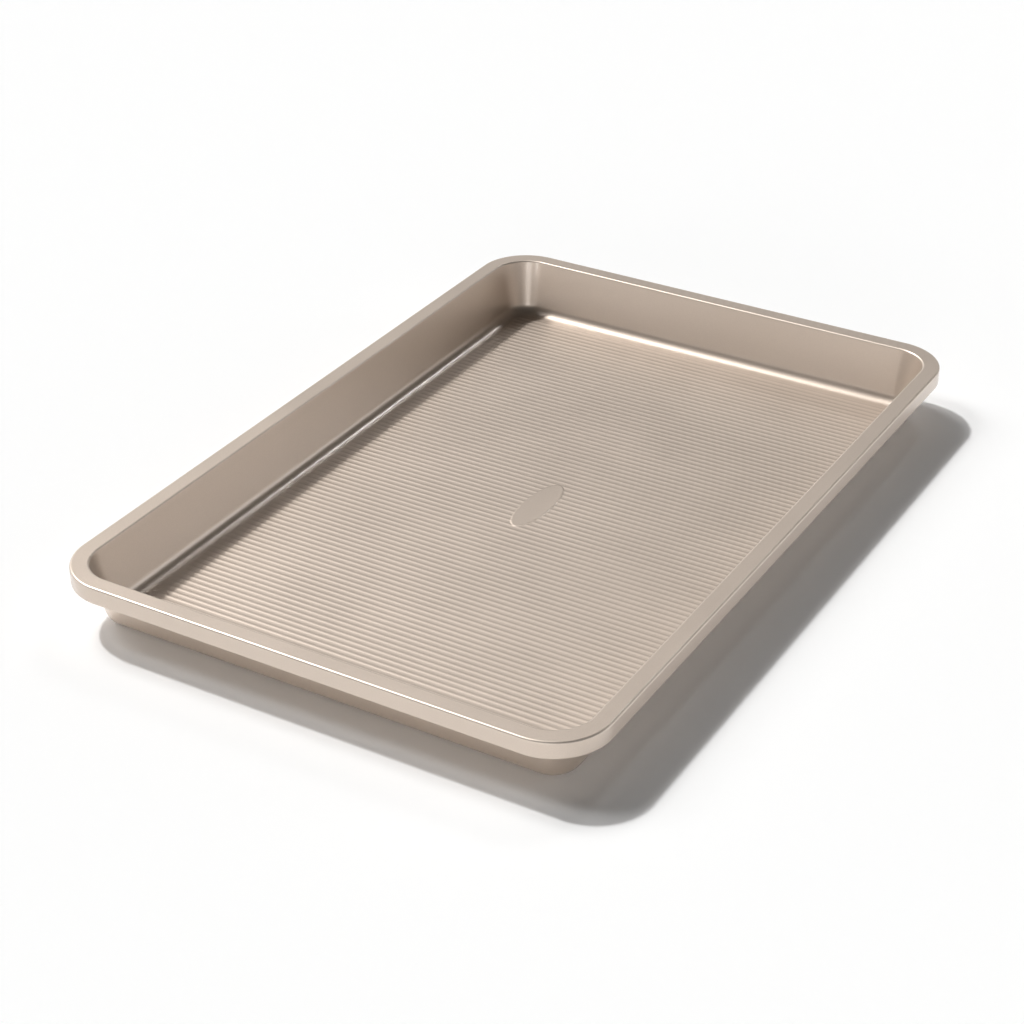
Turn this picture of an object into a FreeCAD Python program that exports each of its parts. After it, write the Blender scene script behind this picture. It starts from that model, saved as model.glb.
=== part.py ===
import FreeCAD, Part
import Sketcher
import math
import os

# Jelly roll pan: one sheet pressed to a ribbed floor, drafted walls and a square-rolled rim,
# and the wire loop that the rim is rolled round.
# X runs along the pan, Y across it, Z up from the surface that it stands on.

doc = FreeCAD.newDocument("jelly_roll_pan")

# Driving dimensions, in millimetres and degrees.
DRIVING = [
    ("pan_length", "381"),
    ("pan_width", "254"),
    ("pan_height", "28"),
    ("floor_corner_radius", "6"),
    ("sheet_gauge", "0.8"),
    ("rim_width", "8.2"),
    ("rim_drop", "8.2"),
    ("bend_radius", "1"),
    ("wall_draft", "13.4"),
    ("foot_radius", "6"),
    ("plain_margin", "0.2"),
    ("seam_gap", "0.6"),
    ("wire_diameter", "5"),
    ("wire_clearance", "0.3"),
    ("rib_pitch", "3.49"),
    ("rib_width", "2.6"),
    ("rib_height", "0.12"),
    ("rib_crest_share", "0.5"),
    ("oval_length", "44"),
    ("oval_width", "15"),
    ("oval_rise", "0.3"),
    ("cut_overrun", "2"),
]

# Sizes that follow from them. An inset is measured inwards from the outer face of the rim.
DERIVED = [
    ("rim_underside", "pan_height - rim_drop"),
    ("wall_slope", "tan(wall_draft)"),
    ("round_share", "tan(45 - wall_draft / 2)"),
    ("flange_end_inset", "rim_width - bend_radius * round_share"),
    ("wall_foot_inset", "rim_width + (pan_height - sheet_gauge) * wall_slope"),
    ("foot_end_inset", "wall_foot_inset + foot_radius * round_share"),
    ("field_inset", "foot_end_inset + plain_margin"),
    ("lip_inset", "rim_width + rim_drop * wall_slope - sheet_gauge / cos(wall_draft) - seam_gap"),
    ("field_length", "pan_length - 2 * field_inset"),
    ("field_width", "pan_width - 2 * field_inset"),
    ("trim_length", "field_length + 2 * cut_overrun"),
    ("trim_width", "field_width + 2 * cut_overrun"),
    ("rib_count", "2 * floor((field_length - rib_width) / rib_pitch / 2) + 1"),
    ("rib_run", "(rib_count - 1) * rib_pitch"),
    ("rib_crest", "rib_width * rib_crest_share"),
    ("wire_inset", "sheet_gauge + wire_clearance + wire_diameter / 2"),
    ("wire_level", "rim_underside + wire_inset"),
    ("wire_loop_length", "pan_length - 2 * wire_inset"),
    ("wire_loop_width", "pan_width - 2 * wire_inset"),
    ("wire_corner_radius", "floor_corner_radius + field_inset - wire_inset"),
]

sizes = doc.addObject("Spreadsheet::Sheet", "sizes")
for row, (alias, number) in enumerate(DRIVING, start=1):
    sizes.set(f"A{row}", alias)
    sizes.set(f"B{row}", number)
    sizes.setAlias(f"B{row}", alias)
for row, (alias, formula) in enumerate(DERIVED, start=1):
    sizes.set(f"C{row}", alias)
    sizes.set(f"D{row}", f"={formula}")
    sizes.setAlias(f"D{row}", alias)
doc.recompute()

# How a sketch names the places on a line or arc, its horizontal axis and its origin.
_, START, END, CENTRE = range(4)
ACROSS_AXIS = -START
ORIGIN = (ACROSS_AXIS, START)


def size(alias):
    """The present value of one cell."""
    return float(sizes.get(alias))


def point(across, up):
    """A point of a sketch."""
    return FreeCAD.Vector(across, up, 0)


def left_of(direction):
    """The direction a quarter turn to the left."""
    return point(-direction.y, direction.x)


def new_sketch(body, name, plane_role):
    """A sketch on one of the body's own origin planes."""
    sketch = body.newObject("Sketcher::SketchObject", name)
    plane = [feature for feature in body.Origin.OriginFeatures if feature.Role == plane_role][0]
    sketch.AttachmentSupport = [(plane, "")]
    sketch.MapMode = "FlatFace"
    return sketch


def new_feature(body, kind, name, sketch):
    """A feature of the body with a sketch as its profile."""
    feature = body.newObject(f"PartDesign::{kind}", name)
    feature.Profile = sketch
    return feature


def join(sketch, kind, *places):
    """Adds a constraint that has no size."""
    sketch.addConstraint(Sketcher.Constraint(kind, *places))


def measure(sketch, kind, places, expression):
    """Adds a dimension and binds it to the sheet."""
    present = float(sizes.evalExpression(expression))
    index = sketch.addConstraint(Sketcher.Constraint(kind, *places, present))
    sketch.setExpression(f"Constraints[{index}]", expression)


def line(sketch, start, end):
    return sketch.addGeometry(Part.LineSegment(start, end))


def arc(sketch, centre, start, end):
    """An arc that runs to the left from its start to its end."""
    circle = Part.Circle(centre, FreeCAD.Vector(0, 0, 1), (start - centre).Length)
    angles = [math.atan2(place.y - centre.y, place.x - centre.x) for place in (start, end)]
    return sketch.addGeometry(Part.ArcOfCircle(circle, *angles))


def chain(sketch, corners, radii):
    """Lines from corner to corner, with a tangent arc round each inner corner that has a radius.

    Returns the lines and the arcs, in their order.
    """
    stops = [corners[0]]
    joints = []
    for before, corner, after, radius in zip(corners, corners[1:], corners[2:], radii):
        into = (corner - before).normalize()
        out = (after - corner).normalize()
        turn = math.atan2(left_of(into).dot(out), into.dot(out))
        reach = radius * math.tan(abs(turn) / 2)
        first = corner - into * reach
        last = corner + out * reach
        stops += [first, last]
        centre = first + left_of(into) * math.copysign(radius, turn)
        if radius == 0:
            joints.append(None)
        elif turn > 0:
            joints.append((arc(sketch, centre, first, last), START, END))
        else:
            joints.append((arc(sketch, centre, last, first), END, START))
    stops.append(corners[-1])
    lines = [line(sketch, start, end) for start, end in zip(stops[0::2], stops[1::2])]
    for joint, before, after in zip(joints, lines, lines[1:]):
        if joint is None:
            join(sketch, "Coincident", before, END, after, START)
        else:
            curve, first_end, last_end = joint
            join(sketch, "Tangent", before, END, curve, first_end)
            join(sketch, "Tangent", curve, last_end, after, START)
    return lines, [joint[0] for joint in joints if joint]


def level_sides(sketch, lines, length, width):
    """Holds upright and level lines in turn, the first at +X, to a box about the origin."""
    for upright in lines[0::2]:
        join(sketch, "Vertical", upright)
    for level in lines[1::2]:
        join(sketch, "Horizontal", level)
    measure(sketch, "DistanceX", ORIGIN + (lines[0], START), f"sizes.{length} / 2")
    measure(sketch, "DistanceY", ORIGIN + (lines[1], START), f"sizes.{width} / 2")
    measure(sketch, "DistanceX", (lines[2], START) + ORIGIN, f"sizes.{length} / 2")
    measure(sketch, "DistanceY", (lines[3], START) + ORIGIN, f"sizes.{width} / 2")


def rectangle(sketch, length, width):
    """A rectangle about the origin, its sizes given as aliases."""
    end = size(length) / 2
    side = size(width) / 2
    corners = [point(end, -side), point(end, side), point(-end, side), point(-end, -side)]
    lines, _ = chain(sketch, corners + corners[:1], [0] * 3)
    join(sketch, "Coincident", lines[-1], END, lines[0], START)
    level_sides(sketch, lines, length, width)


def rounded_rectangle(sketch, length, width, radius):
    """A rounded rectangle about the origin, its sizes given as aliases.

    It starts in the middle of its +X side, where the section that follows it is drawn.
    """
    end = size(length) / 2
    side = size(width) / 2
    corners = [point(end, 0), point(end, side), point(-end, side), point(-end, -side), point(end, -side)]
    lines, arcs = chain(sketch, corners + corners[:1], [size(radius)] * 4)
    join(sketch, "Coincident", lines[-1], END, lines[0], START)
    join(sketch, "PointOnObject", lines[0], START, ACROSS_AXIS)
    level_sides(sketch, lines, length, width)
    measure(sketch, "Radius", (arcs[0],), f"sizes.{radius}")
    for other in arcs[1:]:
        join(sketch, "Equal", arcs[0], other)


def rib_trapezium(sketch):
    """The pressed wave at the first rib, wide at its foot and narrow at its crest."""
    middle = -size("rib_run") / 2
    foot = size("rib_width") / 2
    crest = size("rib_crest") / 2
    corners = [
        point(middle - foot, 0),
        point(middle + foot, 0),
        point(middle + crest, size("rib_height")),
        point(middle - crest, size("rib_height")),
    ]
    lines, _ = chain(sketch, corners + corners[:1], [0] * 3)
    foot_line, _, crest_line, _ = lines
    join(sketch, "Coincident", lines[-1], END, foot_line, START)
    join(sketch, "PointOnObject", foot_line, START, ACROSS_AXIS)
    for level in (foot_line, crest_line):
        join(sketch, "Horizontal", level)
    measure(sketch, "DistanceY", ORIGIN + (crest_line, START), "sizes.rib_height")
    ends = [
        ((foot_line, START), "sizes.rib_run + sizes.rib_width"),
        ((foot_line, END), "sizes.rib_run - sizes.rib_width"),
        ((crest_line, START), "sizes.rib_run - sizes.rib_crest"),
        ((crest_line, END), "sizes.rib_run + sizes.rib_crest"),
    ]
    for place, twice_across in ends:
        measure(sketch, "DistanceX", place + ORIGIN, f"({twice_across}) / 2")


def ellipse(sketch, length, width):
    """An ellipse about the origin, its sizes given as aliases."""
    ends = point(size(length) / 2, 0), point(0, size(width) / 2)
    curve = sketch.addGeometry(Part.Ellipse(*ends, point(0, 0)))
    sketch.exposeInternalGeometry(curve)
    long_axis = curve + 1
    short_axis = curve + 2
    join(sketch, "Coincident", curve, CENTRE, *ORIGIN)
    join(sketch, "Horizontal", long_axis)
    measure(sketch, "Distance", (long_axis,), f"sizes.{length}")
    measure(sketch, "Distance", (short_axis,), f"sizes.{width}")


def beside(corners, distance):
    """The corners of the chain that runs at a distance to the left of the given one."""
    courses = []
    for start, end in zip(corners, corners[1:]):
        along = (end - start).normalize()
        courses.append((start + left_of(along) * distance, along))
    moved = [courses[0][0]]
    for (start, along), (next_start, next_along) in zip(courses, courses[1:]):
        reach = left_of(next_along).dot(next_start - start) / left_of(next_along).dot(along)
        moved.append(start + along * reach)
    moved.append(corners[-1] + left_of(courses[-1][1]) * distance)
    return moved


def sheet_section(sketch):
    """The cut edge of the sheet at the +X end, from the rolled lip to the floor.

    The corners follow the face that shows: out from the lip under the rim, up the rim's face,
    over the flange, down the wall and along the floor. The other face runs one gauge to their
    left. The roll is folded sharp at its lower edge and all along its inside.
    """
    face = size("pan_length") / 2
    gauge = size("sheet_gauge")
    bend = size("bend_radius")
    foot = size("foot_radius")
    corners = [
        point(face - size("lip_inset"), size("rim_underside")),
        point(face, size("rim_underside")),
        point(face, size("pan_height")),
        point(face - size("rim_width"), size("pan_height")),
        point(face - size("wall_foot_inset"), gauge),
        point(face - size("field_inset"), gauge),
    ]
    inner_corners = beside(corners, gauge)
    shown, (upper_bend, flange_bend, foot_arc) = chain(sketch, corners, [0, bend, bend, foot])
    inner, (inner_foot_arc,) = chain(sketch, inner_corners, [0, 0, 0, foot + gauge])
    lip = line(sketch, corners[0], inner_corners[0])
    seam = line(sketch, corners[-1], inner_corners[-1])
    for cap, side, courses in ((lip, START, (shown[0], inner[0])), (seam, END, (shown[4], inner[4]))):
        join(sketch, "Coincident", cap, START, courses[0], side)
        join(sketch, "Coincident", cap, END, courses[1], side)
        join(sketch, "Vertical", cap)
    for level in shown[0::2] + inner[0::2]:
        join(sketch, "Horizontal", level)
    for upright in (shown[1], inner[1]):
        join(sketch, "Vertical", upright)
    join(sketch, "Parallel", shown[3], inner[3])
    join(sketch, "Coincident", foot_arc, CENTRE, inner_foot_arc, CENTRE)
    for curve in (upper_bend, flange_bend):
        measure(sketch, "Radius", (curve,), "sizes.bend_radius")
    measure(sketch, "Radius", (foot_arc,), "sizes.foot_radius")
    measure(sketch, "Radius", (inner_foot_arc,), "sizes.foot_radius + sizes.sheet_gauge")
    measure(sketch, "DistanceX", ORIGIN + (shown[1], START), "sizes.pan_length / 2")
    measure(sketch, "DistanceX", (inner[1], START, shown[1], START), "sizes.sheet_gauge")
    measure(sketch, "DistanceY", (shown[0], START, inner[0], START), "sizes.sheet_gauge")
    measure(sketch, "DistanceY", (inner[2], START, shown[2], START), "sizes.sheet_gauge")
    insets = [
        ((shown[0], START), "lip_inset"),
        ((flange_bend, CENTRE), "flange_end_inset"),
        ((shown[4], START), "foot_end_inset"),
        ((shown[4], END), "field_inset"),
    ]
    for place, inset in insets:
        measure(sketch, "DistanceX", ORIGIN + place, f"sizes.pan_length / 2 - sizes.{inset}")
    levels = [
        ((shown[0], START), "rim_underside"),
        ((shown[2], START), "pan_height"),
        ((shown[4], START), "sheet_gauge"),
    ]
    for place, level in levels:
        measure(sketch, "DistanceY", ORIGIN + place, f"sizes.{level}")


def make_ribbed_floor(body):
    """The floor sheet: a slab with raised ribs across it and the grooves behind them."""
    outline = new_sketch(body, "slab_outline", "XY_Plane")
    rectangle(outline, "field_length", "field_width")
    slab = new_feature(body, "Pad", "floor_slab", outline)
    slab.setExpression("Length", "sizes.sheet_gauge")

    rib_section = new_sketch(body, "rib_section", "XZ_Plane")
    rib_section.setExpression("AttachmentOffset.Base.y", "sizes.sheet_gauge")
    rib_trapezium(rib_section)
    rib = new_feature(body, "Pad", "rib", rib_section)

    groove_section = new_sketch(body, "groove_section", "XZ_Plane")
    rib_trapezium(groove_section)
    groove = new_feature(body, "Pocket", "rib_groove", groove_section)
    for feature in (rib, groove):
        feature.SideType = "Symmetric"
        feature.setExpression("Length", "sizes.field_width")
    doc.recompute()

    ribs = body.newObject("PartDesign::LinearPattern", "ribs")
    ribs.Originals = [rib, groove]
    ribs.Direction = (rib_section, ["H_Axis"])
    ribs.setExpression("Length", "sizes.rib_run")
    ribs.setExpression("Occurrences", "sizes.rib_count")
    body.Tip = ribs

    trim_outline = new_sketch(body, "trim_outline", "XY_Plane")
    rectangle(trim_outline, "trim_length", "trim_width")
    rounded_rectangle(trim_outline, "field_length", "field_width", "floor_corner_radius")
    trim = new_feature(body, "Pocket", "corner_trim", trim_outline)
    trim.Type = "ThroughAll"
    trim.Reversed = True


def make_oval_pad(body):
    """The plain oval in the middle of the floor: ribs cut away, the sheet pressed up flat."""
    cut_outline = new_sketch(body, "oval_cut_outline", "XY_Plane")
    ellipse(cut_outline, "oval_length", "oval_width")
    cut = new_feature(body, "Pocket", "oval_cut", cut_outline)
    cut.Type = "ThroughAll"
    cut.Reversed = True
    pad_outline = new_sketch(body, "oval_pad_outline", "XY_Plane")
    pad_outline.setExpression("AttachmentOffset.Base.z", "sizes.oval_rise")
    ellipse(pad_outline, "oval_length", "oval_width")
    pad = new_feature(body, "Pad", "oval_pad", pad_outline)
    pad.setExpression("Length", "sizes.sheet_gauge")


def make_pan_body():
    """The pressed sheet: ribbed floor, walls, flange and square-rolled edge in one piece."""
    body = doc.addObject("PartDesign::Body", "pan_body")
    make_ribbed_floor(body)
    floor_edge = new_sketch(body, "floor_edge", "XY_Plane")
    rounded_rectangle(floor_edge, "field_length", "field_width", "floor_corner_radius")
    section = new_sketch(body, "wall_section", "XZ_Plane")
    sheet_section(section)
    walls = new_feature(body, "AdditivePipe", "walls_and_rim", section)
    walls.Spine = (floor_edge, [])
    make_oval_pad(body)
    return body


def make_rim_wire():
    """The wire loop inside the rolled rim, clear of the face and the lip that it lies on."""
    body = doc.addObject("PartDesign::Body", "rim_wire")
    loop = new_sketch(body, "wire_loop", "XY_Plane")
    loop.setExpression("AttachmentOffset.Base.z", "sizes.wire_level")
    rounded_rectangle(loop, "wire_loop_length", "wire_loop_width", "wire_corner_radius")
    section = new_sketch(body, "wire_section", "XZ_Plane")
    middle = point(size("wire_loop_length") / 2, size("wire_level"))
    ring = section.addGeometry(Part.Circle(middle, FreeCAD.Vector(0, 0, 1), size("wire_diameter") / 2))
    measure(section, "Diameter", (ring,), "sizes.wire_diameter")
    measure(section, "DistanceX", ORIGIN + (ring, CENTRE), "sizes.wire_loop_length / 2")
    measure(section, "DistanceY", ORIGIN + (ring, CENTRE), "sizes.wire_level")
    wire = new_feature(body, "AdditivePipe", "wire", section)
    wire.Spine = (loop, [])
    return body


bodies = [make_pan_body(), make_rim_wire()]
doc.recompute()

for item in doc.Objects:
    if "Invalid" in item.State or "Error" in item.State:
        raise RuntimeError(f"{item.Name} failed: {item.State}")
for body in bodies:
    if body.Shape.isNull() or not body.Shape.isValid() or len(body.Shape.Solids) != 1:
        raise RuntimeError(f"{body.Label} is not one sound solid")

os.makedirs("parts", exist_ok=True)
for body in bodies:
    body.Shape.exportStep(f"parts/{body.Label}.step")
    print(body.Label, round(body.Shape.Volume), "cubic mm", len(body.Shape.Faces), "faces")
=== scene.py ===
import math

import bpy
import numpy as np
from mathutils import Matrix


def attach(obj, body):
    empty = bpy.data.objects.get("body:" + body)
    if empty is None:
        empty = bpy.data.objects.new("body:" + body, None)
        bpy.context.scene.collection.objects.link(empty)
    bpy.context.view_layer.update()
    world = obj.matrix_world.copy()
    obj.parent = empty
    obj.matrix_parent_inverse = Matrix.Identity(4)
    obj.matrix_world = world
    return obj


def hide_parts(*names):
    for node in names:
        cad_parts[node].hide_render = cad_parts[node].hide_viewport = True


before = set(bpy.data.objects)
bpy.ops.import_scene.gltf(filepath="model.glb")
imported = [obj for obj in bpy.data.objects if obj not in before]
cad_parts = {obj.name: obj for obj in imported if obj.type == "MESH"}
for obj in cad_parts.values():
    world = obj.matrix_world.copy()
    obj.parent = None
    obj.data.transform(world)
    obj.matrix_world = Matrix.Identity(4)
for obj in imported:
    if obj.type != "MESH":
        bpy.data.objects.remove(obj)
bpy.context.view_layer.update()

MM = 0.001
TINY = 1e-9

# The sheet, as in the part's source. An inset runs inwards from the outer face of the rim.
# Ribs and oval are pressed a little lower here, and the oval is a little smaller.
PAN_LENGTH = 381 * MM
PAN_WIDTH = 254 * MM
PAN_HEIGHT = 28 * MM
GAUGE = 0.8 * MM
RIM_WIDTH = 8.2 * MM
RIM_DROP = 8.2 * MM
BEND_RADIUS = 1.0 * MM
FOOT_RADIUS = 6 * MM
WALL_DRAFT = math.radians(13.4)
FLOOR_CORNER_RADIUS = 6 * MM
PLAIN_MARGIN = 0.2 * MM
SEAM_GAP = 0.6 * MM
CUT_RADIUS = 0.25 * MM
FOLD_RADIUS = 0.25 * MM
RIB_PITCH = 3.49 * MM
RIB_WIDTH = 2.6 * MM
RIB_HEIGHT = 0.1 * MM
RIB_END = 0.5 * MM
OVAL_LENGTH = 42 * MM
OVAL_WIDTH = 13.8 * MM
OVAL_RISE = 0.22 * MM
OVAL_EDGE = 0.45 * MM

WALL_SLOPE = math.tan(WALL_DRAFT)
ROUND_SHARE = math.tan(math.radians(45) - WALL_DRAFT / 2)
RIM_UNDERSIDE = PAN_HEIGHT - RIM_DROP
WALL_OFFSET = GAUGE / math.cos(WALL_DRAFT)
WALL_FOOT_INSET = RIM_WIDTH + (PAN_HEIGHT - GAUGE) * WALL_SLOPE
FOOT_END_INSET = WALL_FOOT_INSET + FOOT_RADIUS * ROUND_SHARE
FIELD_INSET = FOOT_END_INSET + PLAIN_MARGIN
LIP_INSET = RIM_WIDTH + RIM_DROP * WALL_SLOPE - WALL_OFFSET - SEAM_GAP
RIM_CORNER_RADIUS = FLOOR_CORNER_RADIUS + FIELD_INSET
CENTRE_X = PAN_LENGTH / 2 - RIM_CORNER_RADIUS
CENTRE_Y = PAN_WIDTH / 2 - RIM_CORNER_RADIUS
FIELD_END = CENTRE_X + FLOOR_CORNER_RADIUS
RIB_COUNT = 2 * math.floor((FIELD_END - RIB_WIDTH / 2) / RIB_PITCH) + 1

# How finely the skin is drawn.
BESIDE_ARC = 0.08 * MM
RING_MARGIN = 0.12 * MM
CORNER_STEPS = 24
SIDE_STEPS = [36, 22, 36, 22]
EDGE_ROWS = np.array([0, 0.15, 0.3, 0.5, 1.2]) * MM
FAR_ROWS = np.array([30, 60]) * MM
OUTER_COLUMNS = 421
BLOCK_END, BLOCK_COLUMNS = 24 * MM, 193
BLOCK_SIDE, BLOCK_ROWS = 9.2 * MM, 75

# The floor that the pan stands on.
FLOOR_REACH = 4
FLOOR_LEVEL = -0.1 * MM

# The camera of the photograph.
CAMERA_AZIMUTH = math.radians(-59.635)
CAMERA_ELEVATION = math.radians(30.6)
CAMERA_PLACE = (-778.3 * MM, -442.5 * MM, 526.8 * MM)
SENSOR_WIDTH = 36
FOCAL_PIXELS, PHOTO_PIXELS = 2264.5, 1024

# Colours, as linear red, green, blue and opacity.
COATING_DARK = (0.612, 0.514, 0.43, 1)
COATING_PALE = (0.774, 0.661, 0.564, 1)
COATING_WORN = (0.82, 0.75, 0.68, 1)
ZINC_DARK = (0.36, 0.37, 0.38, 1)
ZINC_PALE = (0.62, 0.63, 0.64, 1)
PAPER_DARK = (0.975, 0.975, 0.972, 1)
PAPER_PALE = (0.985, 0.985, 0.982, 1)
BLACK = (0, 0, 0, 1)
WHITE = (1, 1, 1, 1)
HORIZON = (1.1, 1.1, 1.1, 1)
CEILING = (0.01, 0.01, 0.01, 1)
HORIZON_FADE = (0.12, 0.22)

PEEL_DEPTH = 0.02 * MM
SEEN_RAYS = ["Camera", "Glossy", "Transmission"]

# Name, azimuth, elevation and width in degrees, and strength.
LAMPS = [
    ("key", 78.5, 52.8, 3.2, 1.85),
    ("halo", 66, 51, 12, 0.7),
    ("window", 104, 50, 12, 0.4),
    ("wall", 100, 40, 20, 0.44),
    ("front", 202, 7, 20, 0.38),
    ("low", 172, 6, 12, 0.22),
    ("side", 309, 16, 20, 0.23),
    ("back", 2, 43, 7, 0.18),
    ("glow", 28, 33, 26, 0.032),
    ("sky", 43, 54, 24, 0.1),
]


class Sock:
    """A shader socket that takes part in Python expressions, each of which adds a node."""

    def __init__(self, tree, socket):
        self.tree = tree
        self.socket = socket

    def node(self, kind, settings=None, output=0, **inputs):
        """Adds a node. Sets its settings, then its sockets, by name or by position as _0, _1."""
        made = self.tree.nodes.new(kind)
        for name, value in (settings or {}).items():
            setattr(made, name, value)
        for name, value in inputs.items():
            key = int(name[1:]) if name[0] == "_" else name.replace("_", " ")
            if isinstance(value, Sock):
                self.tree.links.new(value.socket, made.inputs[key])
            else:
                made.inputs[key].default_value = value
        return Sock(self.tree, made.outputs[output])

    def maths(self, operation, *values):
        """A node that works out one operation on numbers or sockets."""
        places = {f"_{index}": value for index, value in enumerate(values)}
        return self.node("ShaderNodeMath", {"operation": operation}, **places)

    def __add__(self, other):
        return self.maths("ADD", self, other)

    def __radd__(self, other):
        return self.maths("ADD", other, self)

    def __sub__(self, other):
        return self.maths("SUBTRACT", self, other)

    def __rsub__(self, other):
        return self.maths("SUBTRACT", other, self)

    def __mul__(self, other):
        return self.maths("MULTIPLY", self, other)

    def __rmul__(self, other):
        return self.maths("MULTIPLY", other, self)

    def between(self, low, high):
        """0 below low, 1 above high and a smooth step from one to the other."""
        settings = {"interpolation_type": "SMOOTHSTEP"}
        return self.node("ShaderNodeMapRange", settings, Value=self, From_Min=low, From_Max=high)

    def mix(self, first, second):
        """The first colour where this is 0, the second where it is 1."""
        settings = {"data_type": "RGBA", "clamp_factor": True}
        return self.node("ShaderNodeMix", settings, output=2, _0=self, _6=first, _7=second)


def new_material(name):
    """A material with one Principled shader, and the wrapped Object coordinates to draw on it."""
    material = bpy.data.materials.new(name)
    material.use_nodes = True
    tree = material.node_tree
    shader = tree.nodes["Principled BSDF"]
    places = Sock(tree, tree.nodes.new("ShaderNodeTexCoord").outputs["Object"])
    return material, tree, shader, places


def feed(tree, shader, **inputs):
    """Links sockets to the shader's inputs of the same names."""
    for name, value in inputs.items():
        tree.links.new(value.socket, shader.inputs[name.replace("_", " ")])


def coated_steel():
    """Champagne non-stick coating: fine metal flake and a faint orange peel under a clear film.

    On the bends the film is thinner and the flake a little paler, as far as the bend attribute says.
    """
    material, tree, shader, places = new_material("coated_steel")
    noise = "ShaderNodeTexNoise"
    flake = places.node(noise, Vector=places, Scale=2100, Detail=1.0, Roughness=0.6)
    peel = places.node(noise, Vector=places, Scale=900, Detail=2.0, Roughness=0.5)
    cloud = places.node(noise, Vector=places, Scale=22, Detail=3.0, Roughness=0.5)
    wear = places.node("ShaderNodeAttribute", {"attribute_name": "bend"}, output=2)
    tone = 0.5 + (flake - 0.5) * 0.55 + (cloud - 0.5) * 0.3
    plain = tone.mix(COATING_DARK, COATING_PALE)
    worn = (wear * (0.35 + 0.5 * flake)) * 0.35
    colour = worn.mix(plain, COATING_WORN)
    rough = 0.45 + (flake - 0.5) * 0.12 + (cloud - 0.5) * 0.06
    relief = peel * 0.6 + flake * 0.4
    bump = places.node("ShaderNodeBump", Strength=0.35, Distance=PEEL_DEPTH, Height=relief)
    feed(tree, shader, Base_Color=colour, Roughness=rough, Coat_Weight=1 - 0.6 * wear, Normal=bump)
    shader.inputs["Metallic"].default_value = 0.72
    shader.inputs["Coat Roughness"].default_value = 0.18
    return material


def galvanised_wire():
    """Dull zinc with a soft spangle."""
    material, tree, shader, places = new_material("galvanised_wire")
    grain = places.node("ShaderNodeTexNoise", Vector=places, Scale=700, Detail=3.0, Roughness=0.6)
    spangle = places.node("ShaderNodeTexVoronoi", Vector=places, Scale=320)
    tone = 0.6 * grain + 0.8 * spangle
    colour = tone.mix(ZINC_DARK, ZINC_PALE)
    bump = places.node("ShaderNodeBump", Strength=0.3, Distance=PEEL_DEPTH, Height=grain)
    feed(tree, shader, Base_Color=colour, Roughness=0.38 + 0.25 * grain, Normal=bump)
    shader.inputs["Metallic"].default_value = 0.9
    return material


def pale_floor():
    """White matt paper with a trace of tooth, a little paler to the eye and in reflections."""
    material, tree, shader, places = new_material("white_paper")
    tooth = places.node("ShaderNodeTexNoise", Vector=places, Scale=900, Detail=2.0)
    colour = tooth.mix(PAPER_DARK, PAPER_PALE)
    rays = [places.node("ShaderNodeLightPath", output=f"Is {kind} Ray") for kind in SEEN_RAYS]
    seen = rays[0].maths("MAXIMUM", rays[0], rays[1].maths("MAXIMUM", rays[1], rays[2]))
    feed(tree, shader, Base_Color=colour, Emission_Color=seen.mix(BLACK, WHITE))
    shader.inputs["Emission Strength"].default_value = 0.03
    shader.inputs["Roughness"].default_value = 1.0
    shader.inputs["Specular IOR Level"].default_value = 0.0
    return material


def rounded_course(corners, radii, steps, weights):
    """A polyline whose corners are rounded by tangent arcs, sampled with extra points beside each arc.

    A corner of turn a and radius r is left r tan(a/2) before it and met again as far after it. Between
    them the point is centre + r (cos u, sin u) with u in equal steps. Returns the points and, for each,
    the weight of the arc that it lies on, 0 on the straight runs.
    """
    points = [corners[:1]]
    marks = [np.zeros(1)]
    for before, corner, after, radius, step, weight in zip(
        corners, corners[1:], corners[2:], radii, steps, weights
    ):
        into = (corner - before) / np.linalg.norm(corner - before)
        out = (after - corner) / np.linalg.norm(after - corner)
        turn = math.atan2(into[0] * out[1] - into[1] * out[0], into @ out)
        reach = radius * math.tan(abs(turn) / 2)
        first = corner - into * reach
        side = math.copysign(1, turn) * np.array([-into[1], into[0]])
        angles = np.linspace(0, abs(turn), step + 1)[:, None]
        arc = first + radius * (np.sin(angles) * into + (1 - np.cos(angles)) * side)
        points += [first[None] - into * BESIDE_ARC, arc, arc[-1:] + out * BESIDE_ARC]
        marks += [np.zeros(1), weight * np.sin(angles[:, 0] / abs(turn) * math.pi), np.zeros(1)]
    points.append(corners[-1:])
    marks.append(np.zeros(1))
    return np.concatenate(points), np.concatenate(marks)


def sheet_section():
    """The sheet's cut edge as (inset, height), from the floor's upper face round to its lower face.

    Up the wall, over the flange, down the rim's face, under to the lip, back inside the roll one gauge
    away, down the wall's outer face and under the floor.
    """
    ring_end = FOOT_END_INSET + RING_MARGIN
    corners = np.array([
        (ring_end, GAUGE),
        (WALL_FOOT_INSET, GAUGE),
        (RIM_WIDTH, PAN_HEIGHT),
        (0, PAN_HEIGHT),
        (0, RIM_UNDERSIDE),
        (LIP_INSET, RIM_UNDERSIDE),
        (LIP_INSET, RIM_UNDERSIDE + GAUGE),
        (GAUGE, RIM_UNDERSIDE + GAUGE),
        (GAUGE, PAN_HEIGHT - GAUGE),
        (RIM_WIDTH + GAUGE * WALL_SLOPE - WALL_OFFSET, PAN_HEIGHT - GAUGE),
        (RIM_WIDTH + PAN_HEIGHT * WALL_SLOPE - WALL_OFFSET, 0),
        (ring_end, 0),
    ])
    bends = [BEND_RADIUS] * 3
    cuts = [CUT_RADIUS] * 2
    folds = [FOLD_RADIUS] * 3
    radii = [FOOT_RADIUS, *bends, *cuts, *folds, FOOT_RADIUS + GAUGE]
    steps = [18, 10, 12, 10, 4, 4, 3, 3, 3, 14]
    weights = [0, 0.8, 1, 0.8, 1, 1, 0, 0, 0, 0.3]
    return rounded_course(corners, radii, steps, weights)


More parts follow.
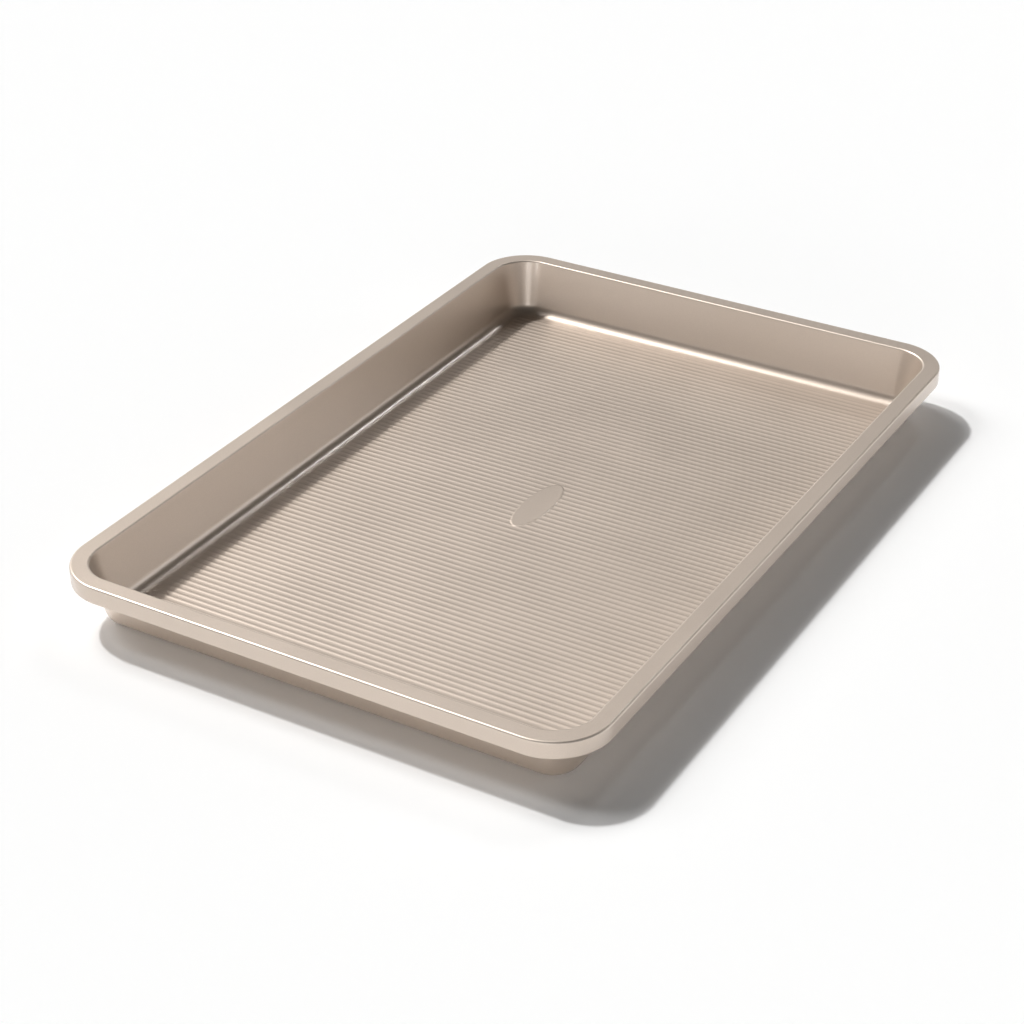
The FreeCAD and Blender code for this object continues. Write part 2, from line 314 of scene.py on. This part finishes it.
def rim_path():
    """Corner-centre points, outward directions and loop places of the rounded outline.

    A place runs from 0 to 8: even units are the corner arcs, odd units the straight sides. A point at
    inset d lies at centre + (R - d) direction.
    """
    centres = np.array([(1, 1), (-1, 1), (-1, -1), (1, -1)]) * (CENTRE_X, CENTRE_Y)
    places = []
    for quarter, count in enumerate(SIDE_STEPS):
        places.append(2 * quarter + np.arange(CORNER_STEPS) / CORNER_STEPS)
        places.append(2 * quarter + 1 + np.arange(count) / count)
    places = np.concatenate(places)
    quarter = (places // 2).astype(int)
    within = places - 2 * quarter
    angle = (quarter + np.minimum(within, 1)) * math.pi / 2
    along = np.maximum(within - 1, 0)[:, None]
    centre = centres[quarter] * (1 - along) + centres[(quarter + 1) % 4] * along
    return centre, np.stack([np.cos(angle), np.sin(angle)], -1), places


def smooth(value, low, high):
    """0 below low, 1 above high, and 3t^2 - 2t^3 between."""
    share = np.clip((value - low) / (high - low), 0, 1)
    return share * share * (3 - 2 * share)


def pressed_height(x, y):
    """How far the floor is pressed up at (x, y).

    Ribs: one cosine wave over the rib's width, once each pitch, ending beside the field's outline.
    Oval: a flat at its own height inside the ellipse, blended over a narrow edge. The distance outside
    the ellipse is (l - 1) / |grad l|, with l the point's length in units of the half axes.
    """
    nearest = np.clip(np.round(x / RIB_PITCH), -(RIB_COUNT // 2), RIB_COUNT // 2) * RIB_PITCH
    phase = np.abs(x - nearest)
    wave = 0.5 + 0.5 * np.cos(2 * math.pi * np.minimum(phase, RIB_WIDTH / 2) / RIB_WIDTH)
    inward = np.hypot(np.maximum(np.abs(x) - CENTRE_X, 0), np.maximum(np.abs(y) - CENTRE_Y, 0))
    ribs = RIB_HEIGHT * wave * smooth(FLOOR_CORNER_RADIUS - inward, 0, RIB_END)
    along = OVAL_LENGTH / 2
    across = OVAL_WIDTH / 2
    level = np.hypot(x / along, y / across)
    slope = np.hypot(x / along**2, y / across**2) / np.maximum(level, TINY)
    outside = (level - 1) / np.maximum(slope, TINY)
    pad = 1 - smooth(outside, -OVAL_EDGE, OVAL_EDGE)
    return ribs * (1 - pad) + OVAL_RISE * pad


class Skin:
    """Collects grids of points and the faces between them into one mesh."""

    def __init__(self):
        self.points = []
        self.marks = []
        self.faces = []
        self.count = 0

    def add(self, points, marks=None):
        """Adds an array of points and returns their numbers in the same shape."""
        numbers = self.count + np.arange(points.size // 3).reshape(points.shape[:-1])
        self.points.append(points.reshape(-1, 3))
        self.marks.append(np.zeros(numbers.size) if marks is None else marks.reshape(-1))
        self.count += numbers.size
        return numbers

    def quads(self, numbers, turned=False):
        """Faces between neighbours of a grid of point numbers."""
        corners = [numbers[:-1, :-1], numbers[1:, :-1], numbers[1:, 1:], numbers[:-1, 1:]]
        loops = np.stack(corners[::-1] if turned else corners, -1).reshape(-1, 4)
        self.faces += loops.tolist()

    def polygon(self, numbers, turned=False):
        """One face with many corners."""
        self.faces.append(list(numbers[::-1] if turned else numbers))

    def finish(self, name, material):
        """Makes the object, shaded smooth, with the bends marked."""
        mesh = bpy.data.meshes.new(name)
        mesh.from_pydata(np.concatenate(self.points).tolist(), [], self.faces)
        mesh.attributes.new("bend", "FLOAT", "POINT").data.foreach_set(
            "value", np.concatenate(self.marks).astype(np.float32)
        )
        mesh.polygons.foreach_set("use_smooth", np.ones(len(mesh.polygons), bool))
        mesh.materials.append(material)
        mesh.validate()
        mesh.update()
        piece = bpy.data.objects.new(name, mesh)
        bpy.context.scene.collection.objects.link(piece)
        return piece


def half_width(x):
    """Half the ribbed field's width at x: the rounded outline."""
    past = np.maximum(np.abs(x) - CENTRE_X, 0)
    return CENTRE_Y + np.sqrt(np.maximum(FLOOR_CORNER_RADIUS**2 - past**2, 0))


def floor_face(skin, level, turned):
    """One face of the ribbed floor at its level plus the pressed height. Returns its outer loop.

    Columns follow x, about ten to a rib. Rows keep to the outline near the edge. Round the oval both are
    finer, and the columns beside that block are joined to it by faces with many corners.
    """
    outer = np.linspace(-FIELD_END, -BLOCK_END, OUTER_COLUMNS + 1)[:-1]
    inner = np.linspace(-BLOCK_END, BLOCK_END, BLOCK_COLUMNS)
    block = np.linspace(-BLOCK_SIDE, BLOCK_SIDE, BLOCK_ROWS)

    def grid(x, middle):
        side = half_width(x)[:, None]
        shared = np.concatenate([-FAR_ROWS[::-1], middle, FAR_ROWS])
        shared = np.broadcast_to(shared, (len(x), len(shared)))
        y = np.concatenate([-side + EDGE_ROWS, shared, side - EDGE_ROWS[::-1]], 1)
        across = np.broadcast_to(x[:, None], y.shape)
        return np.stack([across, y, level + pressed_height(across, y)], -1)

    left = skin.add(grid(outer, block[[0, -1]]))
    centre = skin.add(grid(inner, block))
    right = skin.add(grid(-outer[::-1], block[[0, -1]]))
    for numbers in (left, centre, right):
        skin.quads(numbers, turned)
    before_block = len(EDGE_ROWS) + len(FAR_ROWS)
    for row in range(left.shape[1] - 1):
        first = row if row <= before_block else row + len(block) - 2
        last = row + 1 if row + 1 <= before_block else row + len(block) - 1
        run = np.arange(first, last + 1)
        skin.polygon(np.r_[left[-1, row], centre[0, run], left[-1, row + 1]], turned)
        skin.polygon(np.r_[centre[-1, run], right[0, row + 1], right[0, row]], not turned)
    top = np.r_[left[:, -1], centre[:, -1], right[:, -1]][::-1]
    bottom = np.r_[left[:, 0], centre[:, 0], right[:, 0]]
    return np.r_[top, left[0, -2::-1], bottom[1:], right[-1, 1:-1]]


def loop_places(points):
    """The places, from 0 to 8 as in rim_path, of points on the ribbed field's outline, in their order."""
    x, y = points[:, 0], points[:, 1]
    core_x = np.clip(x, -CENTRE_X, CENTRE_X)
    core_y = np.clip(y, -CENTRE_Y, CENTRE_Y)
    angle = np.arctan2(y - core_y, x - core_x) % (2 * math.pi)
    quarters = np.round(angle / (math.pi / 2), 9)
    on_side = [
        (np.isclose(quarters, 1), 1, (CENTRE_X - core_x) / (2 * CENTRE_X)),
        (np.isclose(quarters, 2), 3, (CENTRE_Y - core_y) / (2 * CENTRE_Y)),
        (np.isclose(quarters, 3), 5, (CENTRE_X + core_x) / (2 * CENTRE_X)),
        (np.isclose(quarters, 0) | np.isclose(quarters, 4), 7, (CENTRE_Y + core_y) / (2 * CENTRE_Y)),
    ]
    places = quarters + np.floor(quarters)
    for held, start, share in on_side:
        places = np.where(held, start + share, places)
    return places % 8


def pan():
    """The whole pressed sheet as one closed skin: wall and rim swept round the outline, and the floor."""
    skin = Skin()
    section, marks = sheet_section()
    centre, outward, places = rim_path()
    reach = RIM_CORNER_RADIUS - section[:, 0]
    plan = centre[:, None] + outward[:, None] * reach[None, :, None]
    height = np.broadcast_to(section[:, 1][None, :, None], plan.shape[:2] + (1,))
    ring = skin.add(np.concatenate([plan, height], -1), np.broadcast_to(marks, plan.shape[:2]))
    skin.quads(np.concatenate([ring, ring[:1]]), turned=True)
    for level, edge, turned in ((GAUGE, 0, False), (0, -1, True)):
        loop = floor_face(skin, level, turned)
        loop_points = np.concatenate(skin.points)[loop]
        stops = np.searchsorted(loop_places(loop_points), places)
        stops = np.r_[stops, len(loop)]
        circle = np.r_[ring[:, edge], ring[0, edge]]
        wrapped = np.r_[loop, loop[0]]
        for step in range(len(places)):
            run = wrapped[stops[step]:stops[step + 1] + 1]
            skin.polygon(np.r_[circle[step], circle[step + 1], run[::-1]], turned)
    return skin.finish("pan", coated_steel())


def floor_sheet():
    """A wide flat sheet, just under the pan: x and y run over a square grid at one height."""
    reach = np.linspace(-FLOOR_REACH, FLOOR_REACH, 2 * FLOOR_REACH + 1)
    x, y = np.meshgrid(reach, reach, indexing="ij")
    skin = Skin()
    skin.quads(skin.add(np.stack([x, y, np.full_like(x, FLOOR_LEVEL)], -1)))
    return skin.finish("floor", pale_floor())


def camera():
    """The photograph's camera: its place, its two turns and its lens."""
    back = np.array([
        math.sin(CAMERA_AZIMUTH) * math.cos(CAMERA_ELEVATION),
        -math.cos(CAMERA_AZIMUTH) * math.cos(CAMERA_ELEVATION),
        math.sin(CAMERA_ELEVATION),
    ])
    right = np.cross((0, 0, 1), back)
    right /= np.linalg.norm(right)
    up = np.cross(back, right)
    data = bpy.data.cameras.new("camera")
    data.sensor_width = SENSOR_WIDTH
    data.lens = SENSOR_WIDTH * FOCAL_PIXELS / PHOTO_PIXELS
    data.clip_start, data.clip_end = 0.01, 50
    view = bpy.data.objects.new("camera", data)
    bpy.context.scene.collection.objects.link(view)
    turned = np.eye(4)
    turned[:3, :3] = np.stack([right, up, back], -1)
    turned[:3, 3] = CAMERA_PLACE
    view.matrix_world = Matrix(turned.tolist())
    bpy.context.scene.camera = view


def lamp(name, azimuth, elevation, width, strength):
    """A far lamp in a direction given in degrees, as wide in the sky as its width in degrees."""
    data = bpy.data.lights.new(name, "SUN")
    data.energy = strength
    data.angle = math.radians(width)
    around, above = math.radians(azimuth), math.radians(elevation)
    towards = np.array([
        math.cos(around) * math.cos(above),
        math.sin(around) * math.cos(above),
        math.sin(above),
    ])
    right = np.cross((0, 0, 1), towards)
    right /= np.linalg.norm(right)
    turned = np.eye(4)
    turned[:3, :3] = np.stack([right, np.cross(towards, right), towards], -1)
    turned[:3, 3] = towards
    made = bpy.data.objects.new(name, data)
    bpy.context.scene.collection.objects.link(made)
    made.matrix_world = Matrix(turned.tolist())


def studio():
    """A key and broad windows from the left, weak lamps round about, and a pale horizon."""
    for values in LAMPS:
        lamp(*values)
    world = bpy.data.worlds.new("room")
    bpy.context.scene.world = world
    world.use_nodes = True
    tree = world.node_tree
    ways = Sock(tree, tree.nodes.new("ShaderNodeTexCoord").outputs["Generated"])
    height = ways.node("ShaderNodeSeparateXYZ", output=2, Vector=ways)
    light = height.between(*HORIZON_FADE).mix(HORIZON, CEILING)
    tree.links.new(light.socket, tree.nodes["Background"].inputs["Color"])
    bpy.context.scene.view_settings.view_transform = "Standard"


body = pan()
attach(body, "root")
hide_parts("pan_body")

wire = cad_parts["rim_wire"]
wire.data.materials.clear()
wire.data.materials.append(galvanised_wire())

floor_sheet()
camera()
studio()
